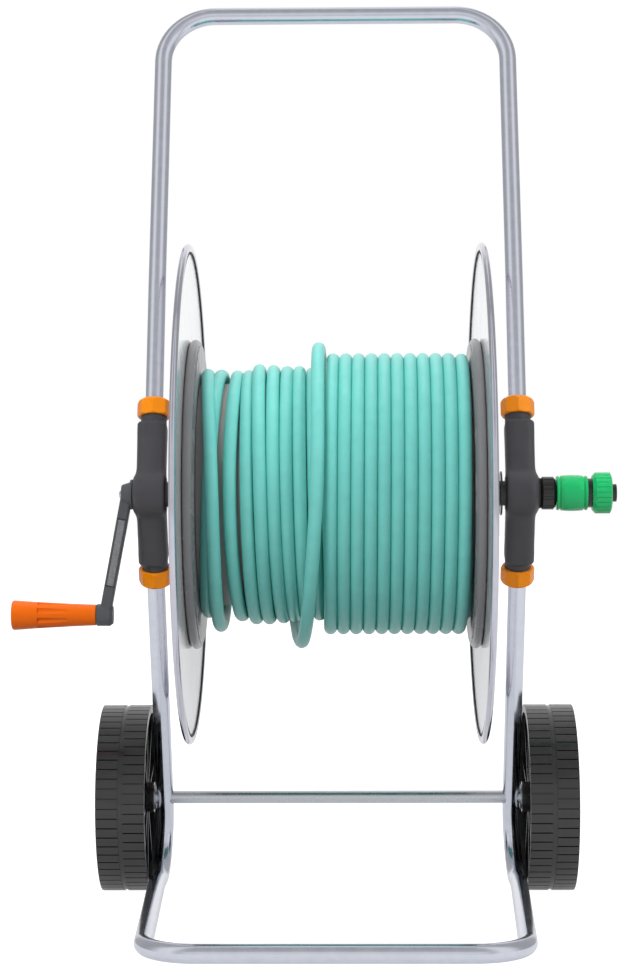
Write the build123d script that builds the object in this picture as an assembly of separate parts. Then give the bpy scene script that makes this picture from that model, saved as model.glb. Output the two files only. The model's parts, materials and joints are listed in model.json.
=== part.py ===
from build123d import *
import math
import os

# A two-wheeled garden hose reel cart, in millimetres. +Z is up, the floor is Z = 0, the cart's front
# faces -Y and its crank is on the -X side. The pieces are made about their own axes, carried to their
# places on the cart, and moved together at the end so that the middle of the cart's box, on the floor,
# is the origin.

# Space left between pieces that turn past each other without touching, and how far cuts run past a face
FREE_GAP = 0.3
PAST = 1.0

# Frame: two bent round tubes joined by two brackets that carry the reel
TUBE_D = 18.0
TUBE_WALL = 1.2
TUBE_SPACING = 366.8
REEL_HEIGHT = 419.0
REEL_FORWARD = 150.0
HANDLE_HEIGHT = 941.3
HANDLE_LEAN = 17.9
HANDLE_KINK_RISE = 218.0
HANDLE_TOP_LEAN = 20.4
HANDLE_KINK_R = 160.0
HANDLE_CORNER_R = 55.0
FOOT_REACH = 403.0
FOOT_FRONT_SPACING = 347.0
FOOT_WIDE_SPACING = 375.2
FOOT_WIDE_REACH = 60.0
FOOT_REAR_SPACING = 372.0
FOOT_REAR_LIFT = 8.0
FOOT_REAR_R = 45.0
FOOT_KNEE_DROP = 12.0
FOOT_KNEE_R = 100.0
FOOT_WIDE_R = 150.0
FOOT_CORNER_R = 50.0

# Wheels and axle
WHEEL_D = 195.0
WHEEL_WIDTH = 50.0
WHEEL_GAP = 5.2
WHEEL_SHELL = 5.5
WHEEL_WEB = 4.0
WHEEL_WEB_INSET = 9.5
WHEEL_POCKETS = 5
WHEEL_POCKET_DEPTH = 1.6
WHEEL_RIBS = 10
WHEEL_RIB_T = 2.4
LUGS = 60
LUG_DEPTH = 2.8
LUG_GROOVE = 1.3
TREAD_GROOVE = 4.5
TREAD_GROOVE_DEPTH = 1.0
LUG_END_WALL = 1.0
HUB_R = 16.0
AXLE_D = 13.5
AXLE_WALL = 1.5
AXLE_PLAY = 0.07
AXLE_HOLE_PLAY = 0.25
WASHER_R = 13.0
WASHER_T = 1.6
CLIP_T = 1.5
CLIP_R = 11.0
HUB_CAP_R = 19.0
HUB_CAP_T = 4.0
HUB_CAP_FACE_T = 2.0
HUB_CAP_INSET = 1.0
HUB_CAP_PLAY = 0.1
RIB_INSET = 4.0
POCKET_ROUND = 4.0

# Brackets, ring nuts and clamp collars
BRACKET_W = 29.5
BRACKET_SET_OUT = 1.15
BRACKET_DEPTH = 33.0
BRACKET_ROUND = 9.0
ARM_LENGTH = 73.5
ARM_END_ROUND = 2.5
HUB_DISC_R = 24.0
BOSS_R = 17.0
BOSS_OUT = 2.7
BOSS_IN = 0.8
NECK_R = 13.0
NECK_LENGTH = 19.5
TUBE_SEAT = 28.0
SOCKET_PLAY = 0.05
NUT_FLATS = 31.5
NUT_HEIGHT = 18.0
NUT_GAP = 8.0
NUT_WALL = 3.0
NUT_PLAY = 0.1
NUT_CROWN = 3.4
NUT_CHAMFER = 1.6
COLLAR_SLIT = 3.0
COLLAR_END_GAP = 0.2

# Reel
SHAFT_R = 12.5
BUSH_WALL = 2.0
SHAFT_PLAY = 0.05
BARREL_R = 110.5
BARREL_WALL = 2.5
DRUM_GAP = 266.0
DRUM_R = 155.0
DRUM_LIP = 11.4
DRUM_LIP_IN = 2.6
DRUM_LIP_T = 5.0
DRUM_LIP_ROUND = 2.4
DRUM_WEB = 3.0
DRUM_BOSS_R = 34.0
DRUM_STAND_OFF = 10.7
SPIGOT_LENGTH = 7.0
SPIGOT_WALL = 3.5
SPIGOT_PLAY = 0.1
DRUM_RIB_T = 2.5
DRUM_RIB_DEPTH = 8.0
FLANGE_R = 249.0
SHEET_T = 1.0
RIM_R = 4.3
RIM_PROUD = 0.8
FLANGE_HOLE_PLAY = 0.5
PLATE_R = 32.0
PLATE_T = 5.0
SCREW_R = 2.2
SCREW_HOLE_PLAY = 0.15
SCREW_HEAD_R = 4.4
SCREW_HEAD_T = 2.2
SCREW_SLOT_W = 1.0
SCREW_SLOT_LENGTH = 4.6
SCREW_SLOT_DEPTH = 0.8
SCREW_TIP_GAP = 1.0
FLANGE_SCREWS = 6
FLANGE_SCREW_RADIUS = 92.0
SCREW_BOSS_R = 7.0
HUB_SCREWS = 4
HUB_SCREW_RADIUS = 23.0
THRUST_R = 22.0
THRUST_T = 1.6
THRUST_GAP = 3.6

# Crank
CRANK_LENGTH = 120.3
CRANK_HUB_R = 15.0
CRANK_HUB_END_R = 10.0
CRANK_HUB_LENGTH = 11.0
CRANK_HUB_GAP = 1.0
DRIVE_SQUARE = 11.0
DRIVE_LENGTH = 8.0
DRIVE_PLAY = 0.05
CRANK_SCREW_REACH = 5.0
ARM_W = 11.0
ARM_DEPTH = 15.0
ARM_OUT = 22.5
PANEL_W = 7.0
PANEL_LENGTH = 68.0
PANEL_DEPTH = 0.9
PANEL_GROOVE = 1.0
KNUCKLE_R = 11.0
KNUCKLE_W = 16.4
SPINDLE_R = 4.0
SPINDLE_PLAY = 0.06
SPINDLE_SEAT = 13.0
SPINDLE_BEYOND = 4.0
SPINDLE_CLIP_T = 1.4
SPINDLE_CLIP_R = 7.4
GRIP_LENGTH = 84.0
GRIP_R = 10.4
GRIP_END_R = 14.9
GRIP_GAP = 0.4
GRIP_BORE = 60.0
GRIP_FLUTES = 8
GRIP_FLUTE_R = 3.2
GRIP_FLUTE_FLOOR_R = 10.9
GRIP_FLUTE_START = 26.0
GRIP_FLUTE_LENGTH = 30.0
GRIP_CAP_T = 3.0
GRIP_HOLLOW_R = 10.0

# Water way
WATER_R = 7.0
INLET_THREAD_R = 13.0
INLET_NUT_R = 16.5
INLET_NUT_LENGTH = 15.2
INLET_NUT_GAP = 1.6
INLET_NUT_WALL = 3.0
NIPPLE_R = 8.0
NIPPLE_WATER_R = 4.5
NIPPLE_COLLAR_R = 11.5
NIPPLE_COLLAR_T = 3.2
NIPPLE_INSIDE = 22.0
NIPPLE_OUTSIDE = 22.0
NIPPLE_END_GAP = 4.0
O_RING_PLACES = (8.0, 16.0, 13.0)
INLET_WASHER_T = 1.0
INLET_WASHER_R = 15.4
RING_PLAY = 0.2
O_RING_R = 1.25
O_RING_PLAY = 0.05
SLEEVE_R = 18.0
SLEEVE_END_R = 17.0
SLEEVE_LENGTH = 30.9
SLEEVE_GAP = 0.8
SLEEVE_LIP = 1.8
SLEEVE_TRAVEL = 4.0
CORE_R = 14.5
SLEEVE_PLAY = 0.05
HOSE_NUT_R = 20.5
HOSE_NUT_LENGTH = 19.3
HOSE_NUT_RIBS = 24
HOSE_NUT_WALL = 4.0
CORE_THREAD_R = 12.0
COLLET_R = 8.85
COLLET_OUT = 5.0
COLLET_LENGTH = 16.0
COLLET_SLIT_LENGTH = 6.0
SUPPLY_HOSE_R = 6.6

# Hose: its outside, the outer shape of its layers, the stretch before the first turn, the raised last
# turn from the reel's top over its front, and the free end up the back
HOSE_D = 13.0
LAY_GAP = 0.3
COIL_STEPS = [(-91.0, 123.8), (-13.0, 130.2), (132.7, 139.8)]
HOSE_LEAD = [
    (80, 0, 0),
    (30, 0, 0),
    (-20, -7.5, -20.7),
    (-62, 18.5, -50.7),
    (-94, 67, -52.3),
    (-114, 107, -15),
    (-124, 111.8, 40.7),
    (-126.5, 79.6, 88.4),
]
LAST_TURN_TOP = -17.4
LAST_TURN_BOTTOM = -38.8
LAST_TURN_R = 152.0
LAST_TURN_RISE = (133.0, 143.0)
HOSE_TAIL = [
    (-38, 25, -145.5),
    (-42, 76, -131),
    (-50, 121, -97),
    (-62, 150, -49),
    (-62, 150, 5),
]
LEAD_SLOT_PLAY = 1.5
LEAD_NUT_R = 12.5
LEAD_NUT_LENGTH = 28.0
LEAD_NUT_WALL = 8.0
LEAD_SPIGOT_R = 9.0
TAIL_FITTING_R = 13.0
TAIL_FITTING_LENGTH = 36.0
TAIL_NUT_R = 14.5
TAIL_NUT_LENGTH = 18.0
TAIL_SOCKET_R = 8.1
TAIL_SOCKET_DEPTH = 20.0

# Places worked out from the sizes above
TUBE_R = TUBE_D / 2
HALF = TUBE_SPACING / 2
WHEEL_R = WHEEL_D / 2
AXLE_R = AXLE_D / 2
LOWER_LEAN = math.degrees(math.atan2(REEL_FORWARD, REEL_HEIGHT - WHEEL_R))
WHEEL_IN = HALF + TUBE_R + WHEEL_GAP
WHEEL_OUT = WHEEL_IN + WHEEL_WIDTH
CLIP_OUT = WHEEL_OUT - HUB_CAP_INSET - HUB_CAP_T
CLIP_IN = CLIP_OUT - CLIP_T
BUSH_R = SHAFT_R + SHAFT_PLAY + BUSH_WALL
BRACKET_MIDDLE = HALF + BRACKET_SET_OUT
BRACKET_IN = BRACKET_MIDDLE - BRACKET_W / 2 - BOSS_IN
BRACKET_OUT = BRACKET_MIDDLE + BRACKET_W / 2 + BOSS_OUT
DRUM_IN = DRUM_GAP / 2
SHEET_IN = DRUM_IN + DRUM_STAND_OFF
SHEET_OUT = SHEET_IN + SHEET_T
SPINDLE_X = -(BRACKET_OUT + CRANK_HUB_GAP + CRANK_HUB_LENGTH / 2 + ARM_OUT)
KNUCKLE_OUT = SPINDLE_X - KNUCKLE_W / 2
GRIP_IN = KNUCKLE_OUT - GRIP_GAP
GRIP_OUT = GRIP_IN - GRIP_LENGTH
INLET_NUT_IN = BRACKET_OUT + INLET_NUT_GAP
INLET_NUT_OUT = INLET_NUT_IN + INLET_NUT_LENGTH
SLEEVE_IN = INLET_NUT_OUT + SLEEVE_GAP
SLEEVE_OUT = SLEEVE_IN + SLEEVE_LENGTH
HOSE_NUT_IN = SLEEVE_OUT + SLEEVE_TRAVEL + 2 * FREE_GAP
HOSE_NUT_OUT = HOSE_NUT_IN + HOSE_NUT_LENGTH
COLLET_OUT_X = HOSE_NUT_OUT + COLLET_OUT
PLATE_IN = DRUM_IN - PLATE_T
DRIVE_X = BRACKET_OUT + CRANK_HUB_GAP
NIPPLE_WALL = INLET_NUT_OUT - INLET_NUT_WALL - RING_PLAY
SHAFT_END = NIPPLE_WALL - NIPPLE_COLLAR_T - RING_PLAY
NIPPLE_END = NIPPLE_WALL - NIPPLE_COLLAR_T - NIPPLE_INSIDE

AXLE = Pos(0, 0, WHEEL_R)
REEL = Pos(0, -REEL_FORWARD, REEL_HEIGHT)
UP = Vector(0, math.sin(math.radians(HANDLE_LEAN)), math.cos(math.radians(HANDLE_LEAN)))
DOWN = Vector(0, math.sin(math.radians(LOWER_LEAN)), -math.cos(math.radians(LOWER_LEAN)))
HUB_POINT = Vector(0, -REEL_FORWARD, REEL_HEIGHT)


def turned(*corners):
    """A solid of revolution about X, from its (x, radius) corners."""
    return revolve(make_face(Polyline(*corners, close=True)), Axis.X)


def ring(x0, x1, inner, outer):
    return turned((x0, inner), (x1, inner), (x1, outer), (x0, outer))


def rod(x0, x1, radius):
    return Pos(min(x0, x1), 0, 0) * Rot(0, 90, 0) * Cylinder(
        radius, abs(x1 - x0), align=(Align.CENTER, Align.CENTER, Align.MIN)
    )


def round_about(count, radius, piece, start=0.0):
    """Copies of a piece made on the X axis, at a radius and evenly round it."""
    return [
        Rot(start + 360 * i / count, 0, 0) * Pos(0, 0, radius) * piece
        for i in range(count)
    ]


def mirrored(piece):
    return mirror(piece, about=Plane.YZ)


def along(path, radius, wall=0.0):
    """A round bar, or a tube with a wall, that follows a path."""
    start = Plane(origin=path @ 0, z_dir=path % 0)
    section = Circle(radius) - Circle(radius - wall) if wall else Circle(radius)
    return sweep(start * section, path=path)


# Frame


def side_point(x, distance, direction):
    return Vector(x, HUB_POINT.Y, HUB_POINT.Z) + direction * distance


def handle_kink():
    return side_point(0, HANDLE_KINK_RISE / UP.Z, UP)


def handle_top():
    """The middle of the bar that the hands hold."""
    angle = math.radians(HANDLE_TOP_LEAN)
    lean = Vector(0, math.sin(angle), math.cos(angle))
    return handle_kink() + lean * ((HANDLE_HEIGHT - TUBE_R - handle_kink().Z) / lean.Z)


def handle_tube():
    sides = []
    for x in (-HALF, HALF):
        across = Vector(x, 0, 0)
        sides.append([side_point(x, TUBE_SEAT, UP), handle_kink() + across, handle_top() + across])
    points = sides[0] + sides[1][::-1]
    radii = [HANDLE_KINK_R, HANDLE_CORNER_R, HANDLE_CORNER_R, HANDLE_KINK_R]
    return along(FilletPolyline(*points, radius=radii), TUBE_R, TUBE_WALL)


def base_tube():
    """Two uprights that knee under the axle, and a foot loop that narrows to the front."""
    knee_drop = (REEL_HEIGHT - WHEEL_R + FOOT_KNEE_DROP) / -DOWN.Z
    rear_drop = (REEL_HEIGHT - TUBE_R - FOOT_REAR_LIFT) / -DOWN.Z
    sides = []
    for sign in (-1, 1):
        high = side_point(sign * HALF, TUBE_SEAT, DOWN)
        knee = side_point(sign * HALF, knee_drop, DOWN)
        rear = side_point(sign * FOOT_REAR_SPACING / 2, rear_drop, DOWN)
        front = Vector(sign * FOOT_FRONT_SPACING / 2, -FOOT_REACH, TUBE_R)
        forward = (rear.Y + FOOT_WIDE_REACH) / (rear.Y + FOOT_REACH)
        wide_z = rear.Z + (front.Z - rear.Z) * forward
        wide = Vector(sign * FOOT_WIDE_SPACING / 2, -FOOT_WIDE_REACH, wide_z)
        sides.append([high, knee, rear, wide, front])
    points = sides[0] + sides[1][::-1]
    bends = [FOOT_KNEE_R, FOOT_REAR_R, FOOT_WIDE_R, FOOT_CORNER_R]
    radii = bends + bends[::-1]
    tube = along(FilletPolyline(*points, radius=radii), TUBE_R, TUBE_WALL)
    hole = AXLE * rod(-WHEEL_IN, WHEEL_IN, AXLE_R + AXLE_HOLE_PLAY)
    return tube - hole


def arm_plane(direction, distance=0.0):
    return Plane(origin=side_point(HALF, distance, direction), x_dir=(1, 0, 0), z_dir=direction)


def bracket_arm(direction):
    """One rounded arm of a bracket, with softened edges where the tube goes in."""
    section = RectangleRounded(BRACKET_W, BRACKET_DEPTH, BRACKET_ROUND)
    arm = extrude(arm_plane(direction) * Pos(BRACKET_SET_OUT, 0) * section, ARM_LENGTH)
    end = max(arm.faces(), key=lambda face: face.center().dot(direction))
    return fillet(end.edges(), ARM_END_ROUND)


def bracket():
    """The right bracket: two arms that hold the tubes and a boss that carries the reel's shaft."""
    x0 = BRACKET_MIDDLE - BRACKET_W / 2
    x1 = BRACKET_MIDDLE + BRACKET_W / 2
    body = REEL * rod(x0, x1, HUB_DISC_R) + bracket_arm(UP) + bracket_arm(DOWN)
    for direction in (UP, DOWN):
        neck = Circle(NECK_R)
        body += extrude(arm_plane(direction, ARM_LENGTH - PAST) * neck, NECK_LENGTH + PAST)
    body += REEL * turned(
        (BRACKET_IN, 0), (BRACKET_OUT, 0), (BRACKET_OUT, BOSS_R), (x1 - PAST, HUB_DISC_R - PAST),
        (x1 - PAST, BOSS_R), (BRACKET_IN, BOSS_R),
    )
    for direction in (UP, DOWN):
        socket = Circle(TUBE_R + SOCKET_PLAY)
        depth = ARM_LENGTH + NECK_LENGTH - TUBE_SEAT
        body -= extrude(arm_plane(direction, TUBE_SEAT) * socket, depth + PAST)
    return body - REEL * rod(BRACKET_IN - PAST, BRACKET_OUT + PAST, BUSH_R)


def ring_nut(direction):
    """A faceted nut that draws the clamp collar down on the tube where it leaves the bracket."""
    low = ARM_LENGTH + NUT_GAP
    plane = arm_plane(direction, low)
    blank = extrude(plane * RegularPolygon(NUT_FLATS / 2, 8, major_radius=False), NUT_HEIGHT)
    corner = NUT_FLATS / 2 / math.cos(math.pi / 8)
    outline = make_face(
        Polyline(
            (0, 0), (0, corner - NUT_CHAMFER), (NUT_CHAMFER, corner), (NUT_HEIGHT - NUT_CROWN, corner),
            (NUT_HEIGHT - NUT_CROWN / 3, corner - NUT_CROWN / 2), (NUT_HEIGHT, corner - NUT_CROWN),
            (NUT_HEIGHT, 0), close=True,
        )
    )
    along_tube = Plane(origin=plane.origin, x_dir=direction, z_dir=(1, 0, 0))
    nut = blank & revolve(along_tube * outline, Axis(plane.origin, direction))
    neck = Circle(NECK_R + NUT_PLAY)
    nut -= extrude(arm_plane(direction, low - PAST) * neck, NUT_HEIGHT - NUT_WALL + PAST)
    return nut - extrude(plane * Circle(TUBE_R + FREE_GAP), NUT_HEIGHT + PAST)


def clamp_collar(direction):
    """The split ring inside a ring nut."""
    low = ARM_LENGTH + NECK_LENGTH + COLLAR_END_GAP
    high = ARM_LENGTH + NUT_GAP + NUT_HEIGHT - NUT_WALL - COLLAR_END_GAP
    plane = arm_plane(direction, low)
    collar = extrude(plane * (Circle(NECK_R - FREE_GAP) - Circle(TUBE_R + SOCKET_PLAY)), high - low)
    slit = extrude(plane * Pos(0, NECK_R) * Rectangle(COLLAR_SLIT, 2 * NECK_R), high - low)
    return collar - slit


def both_sides(pieces):
    """Right-hand pieces and their mirror images, as separate solids."""
    return Compound(children=list(pieces) + [mirrored(piece) for piece in pieces])


# Wheels


def tread_row(x0, x1, phase):
    """One row of tread blocks, cut apart by narrow grooves."""
    step = 360 / LUGS
    groove = Rectangle(2 * LUG_DEPTH, LUG_GROOVE)
    grooves = PolarLocations(WHEEL_R, LUGS, start_angle=phase * step) * groove
    return extrude(Plane.YZ.offset(x0) * (Circle(WHEEL_R) - grooves), x1 - x0)


def wheel():
    """The right wheel on the X axis, moulded in one piece and hollow towards the cart."""
    middle = (WHEEL_IN + WHEEL_OUT) / 2
    web_out = WHEEL_OUT - WHEEL_WEB_INSET
    web_in = web_out - WHEEL_WEB
    shell_r = WHEEL_R - LUG_DEPTH
    inner_r = shell_r - WHEEL_SHELL
    body = tread_row(WHEEL_IN, middle - TREAD_GROOVE / 2, 0.5)
    body += tread_row(middle + TREAD_GROOVE / 2, WHEEL_OUT, 0.0)
    band = TREAD_GROOVE / 2 + LUG_END_WALL
    body += rod(middle - band, middle + band, WHEEL_R - TREAD_GROOVE_DEPTH)
    body += rod(WHEEL_IN, WHEEL_IN + LUG_END_WALL, WHEEL_R - TREAD_GROOVE_DEPTH)
    body += rod(WHEEL_OUT - LUG_END_WALL, WHEEL_OUT, WHEEL_R - TREAD_GROOVE_DEPTH)
    body -= rod(WHEEL_IN - PAST, web_in, inner_r)
    body -= rod(web_out, WHEEL_OUT + PAST, inner_r)
    hub_in = HALF + TUBE_R + 2 * FREE_GAP + WASHER_T
    hub_out = CLIP_IN - FREE_GAP
    body += rod(hub_in, hub_out, HUB_R)
    rib_in = WHEEL_IN + RIB_INSET
    wall = Box(
        web_in - rib_in + PAST, WHEEL_RIB_T, inner_r - HUB_R + 2 * PAST,
        align=(Align.MIN, Align.CENTER, Align.MIN),
    )
    body += round_about(WHEEL_RIBS, HUB_R - PAST, Pos(rib_in, 0, 0) * wall)
    near = HUB_CAP_R + 9
    far = inner_r - 9
    corners = [(near, -10), (far, -25), (far + 4, 0), (far, 25), (near, 10)]
    pocket_face = make_face(Polyline(*corners, close=True))
    pocket_face = fillet(pocket_face.vertices(), POCKET_ROUND)
    floor = Plane.YZ.offset(web_out - WHEEL_POCKET_DEPTH)
    pocket = extrude(floor * pocket_face, WHEEL_POCKET_DEPTH + PAST)
    body -= [Rot(360 * i / WHEEL_POCKETS, 0, 0) * pocket for i in range(WHEEL_POCKETS)]
    return body - rod(hub_in - PAST, hub_out + PAST, AXLE_R + AXLE_PLAY)


def axle_tube():
    reach = CLIP_OUT + FREE_GAP
    return ring(-reach, reach, AXLE_R - AXLE_WALL, AXLE_R)


def axle_washer():
    x0 = HALF + TUBE_R + FREE_GAP
    return ring(x0, x0 + WASHER_T, AXLE_R + AXLE_PLAY, WASHER_R)


def axle_clip():
    return ring(CLIP_IN, CLIP_OUT, AXLE_R, CLIP_R)


def hub_cap():
    """The cap that hides the axle's end, with a skirt that grips the wheel's hub."""
    face = WHEEL_OUT - HUB_CAP_INSET
    inside = face - HUB_CAP_FACE_T
    skirt = WHEEL_OUT - WHEEL_WEB_INSET + FREE_GAP
    grip_r = HUB_R + HUB_CAP_PLAY
    return turned(
        (skirt, grip_r), (inside, grip_r), (inside, 0), (face, 0), (face - 0.3, HUB_CAP_R - 5.0),
        (face - 1.6, HUB_CAP_R - 0.8), (face - HUB_CAP_T, HUB_CAP_R), (skirt, HUB_CAP_R),
    )


# Reel


def flange():
    """The right sheet-metal flange: a flat disc with its edge rolled outwards into a bead."""
    centre_r = FLANGE_R - RIM_R
    bead_edge = Circle(RIM_R) - Circle(RIM_R - SHEET_T)
    bead = revolve(Pos(SHEET_IN - RIM_PROUD + RIM_R, centre_r) * bead_edge, Axis.X)
    sheet = ring(SHEET_IN, SHEET_OUT, SHAFT_R + FLANGE_HOLE_PLAY, centre_r - 0.6 * RIM_R)
    hole = rod(SHEET_IN - PAST, SHEET_OUT + PAST, SCREW_R + SCREW_HOLE_PLAY)
    return sheet + bead - round_about(FLANGE_SCREWS, FLANGE_SCREW_RADIUS, hole)


def drum_disc():
    """The right plastic disc that closes the barrel and stands the flange off."""
    bore = SHAFT_R + SHAFT_PLAY
    spigot = BARREL_R - BARREL_WALL - SPIGOT_PLAY
    lip = RectangleRounded(DRUM_LIP, DRUM_LIP_T, DRUM_LIP_ROUND)
    disc = ring(DRUM_IN, DRUM_IN + DRUM_WEB, bore, DRUM_R - DRUM_LIP_T / 2)
    lip_middle = DRUM_IN - DRUM_LIP_IN + DRUM_LIP / 2
    disc += revolve(Pos(lip_middle, DRUM_R - DRUM_LIP_T / 2) * lip, Axis.X)
    disc += ring(DRUM_IN, SHEET_IN, bore, DRUM_BOSS_R)
    disc += ring(DRUM_IN - SPIGOT_LENGTH, DRUM_IN + PAST, spigot - SPIGOT_WALL, spigot)
    rib = Box(
        DRUM_RIB_DEPTH, DRUM_RIB_T, DRUM_R - DRUM_LIP_T / 2 - DRUM_BOSS_R,
        align=(Align.MIN, Align.CENTER, Align.MIN),
    )
    disc += round_about(2 * FLANGE_SCREWS, DRUM_BOSS_R - PAST, Pos(DRUM_IN + PAST, 0, 0) * rib)
    boss = rod(DRUM_IN + PAST, SHEET_IN, SCREW_BOSS_R)
    disc += round_about(FLANGE_SCREWS, FLANGE_SCREW_RADIUS, boss)
    hole = rod(flange_screw_tip() - SCREW_TIP_GAP, SHEET_IN + PAST, SCREW_R + SCREW_HOLE_PLAY)
    disc -= round_about(FLANGE_SCREWS, FLANGE_SCREW_RADIUS, hole)
    hole = rod(DRUM_IN - PAST, hub_screw_tip() + SCREW_TIP_GAP, SCREW_R + SCREW_HOLE_PLAY)
    return disc - round_about(HUB_SCREWS, HUB_SCREW_RADIUS, hole, start=45)


def screw(head_x, tip_x):
    """A pan-head screw along X, with its head beyond head_x."""
    out = math.copysign(SCREW_HEAD_T, head_x - tip_x)
    head = turned(
        (head_x, 0), (head_x, SCREW_HEAD_R), (head_x + 0.5 * out, SCREW_HEAD_R),
        (head_x + out, 0.6 * SCREW_HEAD_R), (head_x + out, 0),
    )
    bar = Box(2 * SCREW_SLOT_DEPTH, SCREW_SLOT_LENGTH, SCREW_SLOT_W)
    slot = Pos(head_x + out, 0, 0) * (bar + Rot(90, 0, 0) * bar)
    return head + rod(tip_x, head_x, SCREW_R) - slot


def flange_screw_tip():
    return DRUM_IN + DRUM_WEB / 2 + 2 * SCREW_TIP_GAP


def flange_screws():
    return round_about(FLANGE_SCREWS, FLANGE_SCREW_RADIUS, screw(SHEET_OUT, flange_screw_tip()))


def hub_screw_tip():
    return SHEET_IN - 2 * SCREW_TIP_GAP


def hub_screws():
    return round_about(HUB_SCREWS, HUB_SCREW_RADIUS, screw(PLATE_IN, hub_screw_tip()), start=45)


def shaft_plate():
    plate = rod(PLATE_IN, DRUM_IN, PLATE_R)
    hole = rod(PLATE_IN - PAST, DRUM_IN + PAST, SCREW_R + SCREW_HOLE_PLAY)
    return plate - round_about(HUB_SCREWS, HUB_SCREW_RADIUS, hole, start=45)


def barrel():
    body = ring(-DRUM_IN, DRUM_IN, BARREL_R - BARREL_WALL, BARREL_R)
    return body - cord_tube(HOSE_LEAD, HOSE_D / 2 + LEAD_SLOT_PLAY)


def crank_shaft():
    """The left half-shaft, with a square end that drives the crank."""
    body = shaft_plate() + rod(DRUM_IN - PAST, DRIVE_X, SHAFT_R)
    square = Box(
        DRIVE_LENGTH, DRIVE_SQUARE, DRIVE_SQUARE, align=(Align.MIN, Align.CENTER, Align.CENTER)
    )
    body += Pos(DRIVE_X, 0, 0) * square
    tapped = rod(
        DRIVE_X - CRANK_SCREW_REACH - SCREW_TIP_GAP, DRIVE_X + DRIVE_LENGTH + PAST,
        SCREW_R + SCREW_HOLE_PLAY,
    )
    return mirrored(body - tapped)


def water_shaft():
    """The right half-shaft, which carries the water from the inlet to the hose inside the barrel."""
    spigot_in = HOSE_LEAD[0][0] + LEAD_NUT_WALL + FREE_GAP
    thread_in = BRACKET_OUT + FREE_GAP
    body = shaft_plate() + rod(DRUM_IN - PAST, thread_in + PAST, SHAFT_R)
    body += rod(thread_in, SHAFT_END, INLET_THREAD_R)
    body += rod(spigot_in, DRUM_IN, LEAD_SPIGOT_R)
    body -= rod(spigot_in - PAST, SHAFT_END + PAST, WATER_R)
    seat_in = NIPPLE_END - NIPPLE_END_GAP
    return body - rod(seat_in, SHAFT_END + PAST, NIPPLE_R + RING_PLAY)


def lead_nut():
    """The compression nut that holds the hose's inner end on the water shaft."""
    x0 = HOSE_LEAD[0][0]
    x1 = x0 + LEAD_NUT_LENGTH
    bore = LEAD_SPIGOT_R + SHAFT_PLAY
    nut = turned(
        (x0, WATER_R / 2), (x0 + LEAD_NUT_WALL, WATER_R / 2), (x0 + LEAD_NUT_WALL, bore),
        (x1, bore), (x1, LEAD_NUT_R), (x0 + 2, LEAD_NUT_R), (x0, LEAD_NUT_R - 2),
    )
    grooves = round_about(12, LEAD_NUT_R + 0.6, rod(x0 + 4, x1 + 1, 1.6))
    return nut - grooves


def thrust_washer():
    x1 = BRACKET_IN - THRUST_GAP
    return ring(x1 - THRUST_T, x1, SHAFT_R + SHAFT_PLAY, THRUST_R)


def bearing_bush():
    return ring(BRACKET_IN, BRACKET_OUT, SHAFT_R + SHAFT_PLAY, BUSH_R)


# Crank


def crank_arm():
    """The hub, the arm that slants outwards and the knuckle, moulded in one piece."""
    hub_in = -DRIVE_X
    hub_out = hub_in - CRANK_HUB_LENGTH
    hub_mid = (hub_in + hub_out) / 2
    collar = hub_in - 2.0
    body = turned(
        (hub_in, 0), (hub_in, CRANK_HUB_R), (collar, CRANK_HUB_R), (collar, CRANK_HUB_R - 2.5),
        (hub_out + 1, CRANK_HUB_END_R), (hub_out, CRANK_HUB_END_R - 1), (hub_out, 0),
    )
    top = Vector(hub_mid, 0, 0)
    down = (Vector(SPINDLE_X, 0, -CRANK_LENGTH) - top).normalized()
    length = math.hypot(SPINDLE_X - hub_mid, CRANK_LENGTH)
    plane = Plane(origin=top, x_dir=Vector(0, 1, 0), z_dir=down)
    body += extrude(plane * RectangleRounded(ARM_DEPTH, ARM_W, 2.0), length)
    body += Pos(0, 0, -CRANK_LENGTH) * turned(
        (KNUCKLE_OUT, 0), (KNUCKLE_OUT, KNUCKLE_R - 0.8), (KNUCKLE_OUT + 0.8, KNUCKLE_R),
        (KNUCKLE_OUT + KNUCKLE_W - 3, KNUCKLE_R), (KNUCKLE_OUT + KNUCKLE_W, KNUCKLE_R - 2.2),
        (KNUCKLE_OUT + KNUCKLE_W, 0),
    )
    start = (length - PANEL_LENGTH) / 2 - 2
    long_box = (Align.CENTER, Align.CENTER, Align.MIN)
    for side in (-1, 1):
        face = Pos(side * ARM_DEPTH / 2, 0, 0)
        panel = Box(2 * PANEL_DEPTH, PANEL_W, PANEL_LENGTH, align=long_box)
        body -= plane.location * face * Pos(0, 0, start) * panel
        for at in (start, start + PANEL_LENGTH):
            groove = Box(3 * PANEL_DEPTH, ARM_W + 2, PANEL_GROOVE)
            body -= plane.location * face * Pos(0, 0, at) * groove
    across = DRIVE_SQUARE + 2 * DRIVE_PLAY
    square = Box(
        DRIVE_LENGTH + FREE_GAP, across, across, align=(Align.MAX, Align.CENTER, Align.CENTER)
    )
    body -= Pos(hub_in, 0, 0) * square
    body -= rod(hub_in, hub_out - PAST, SCREW_R + SCREW_HOLE_PLAY)
    body -= rod(hub_out, hub_out - ARM_W, SCREW_HEAD_R + FREE_GAP)
    seat = rod(KNUCKLE_OUT - PAST, KNUCKLE_OUT + SPINDLE_SEAT, SPINDLE_R)
    return body - Pos(0, 0, -CRANK_LENGTH) * seat


def crank_screw():
    return screw(-DRIVE_X - CRANK_HUB_LENGTH, -DRIVE_X + CRANK_SCREW_REACH)


def grip_spindle():
    return rod(KNUCKLE_OUT + SPINDLE_SEAT, GRIP_IN - GRIP_BORE - SPINDLE_BEYOND, SPINDLE_R)


def spindle_clip():
    x1 = GRIP_IN - GRIP_BORE - FREE_GAP
    return ring(x1 - SPINDLE_CLIP_T, x1, SPINDLE_R, SPINDLE_CLIP_R)


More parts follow.
